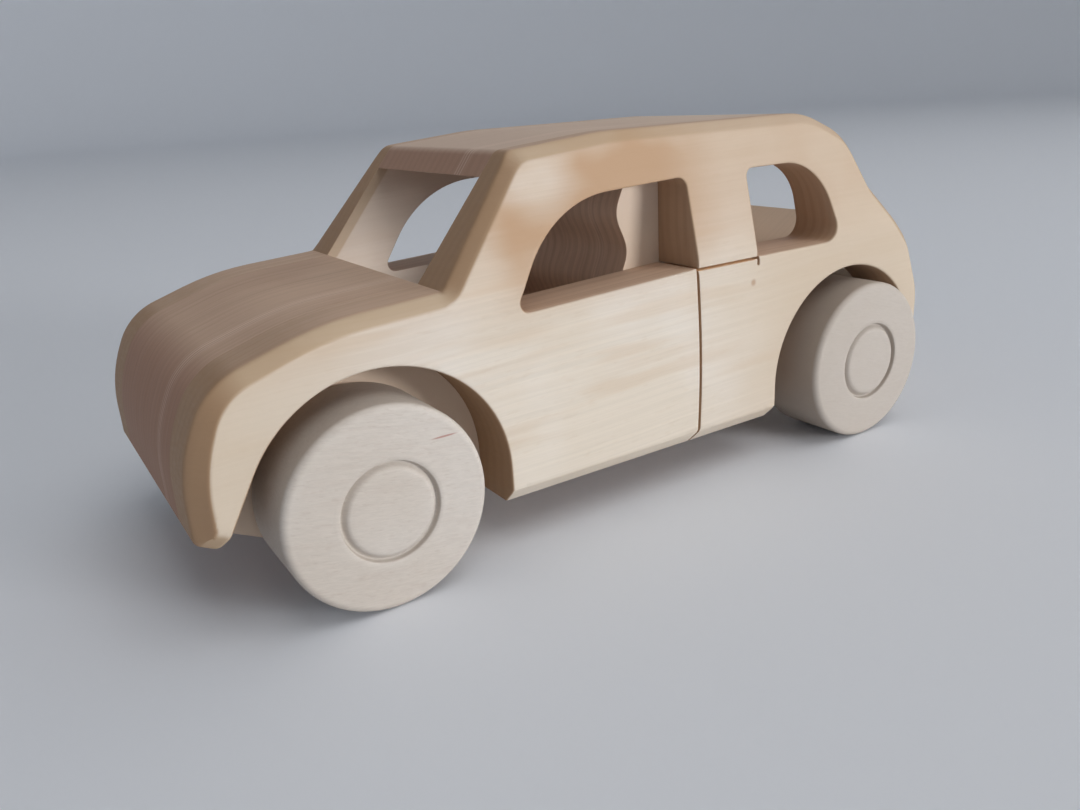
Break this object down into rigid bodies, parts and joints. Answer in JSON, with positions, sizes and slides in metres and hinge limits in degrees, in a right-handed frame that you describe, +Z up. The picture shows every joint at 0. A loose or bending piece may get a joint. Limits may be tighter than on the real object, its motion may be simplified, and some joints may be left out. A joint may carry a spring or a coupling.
{
  "type": "toy taxi",
  "caption": "Wooden toy taxi in the shape of an old saloon car: a sawn core between bevelled side panels, with open windows and turned wheels rolling on dowel axles.",
  "frame": {"origin": "centre of the part's box on the floor that the wheels stand on", "axes": "+X towards the nose, +Y to the car's left side, +Z up"},
  "size_m": [0.1844, 0.0842, 0.0772],
  "materials": {
    "core_wood": "sanded, oiled pale hardwood, edges of the sawn profile a little darker",
    "panel_wood": "sanded, oiled pale hardwood with fine straight grain",
    "dowel_wood": "smooth turned dowel",
    "wheel_wood": "turned and sanded pale hardwood"
  },
  "bodies": {
    "body": {"core": "core_wood", "left_side_panel": "panel_wood", "right_side_panel": "panel_wood"},
    "front_wheelset": {"front_axle": "dowel_wood", "front_left_wheel": "wheel_wood", "front_right_wheel": "wheel_wood"},
    "rear_wheelset": {"rear_axle": "dowel_wood", "rear_left_wheel": "wheel_wood", "rear_right_wheel": "wheel_wood"}
  },
  "joints": [
    {"name": "front_axle_spin", "type": "hinge", "parent": "body", "child": "front_wheelset", "pos_m": [0.0614, 0, 0.019], "axis": [0, 1, 0], "continuous": true},
    {"name": "rear_axle_spin", "type": "hinge", "parent": "body", "child": "rear_wheelset", "pos_m": [-0.0646, 0, 0.019], "axis": [0, 1, 0], "continuous": true}
  ]
}
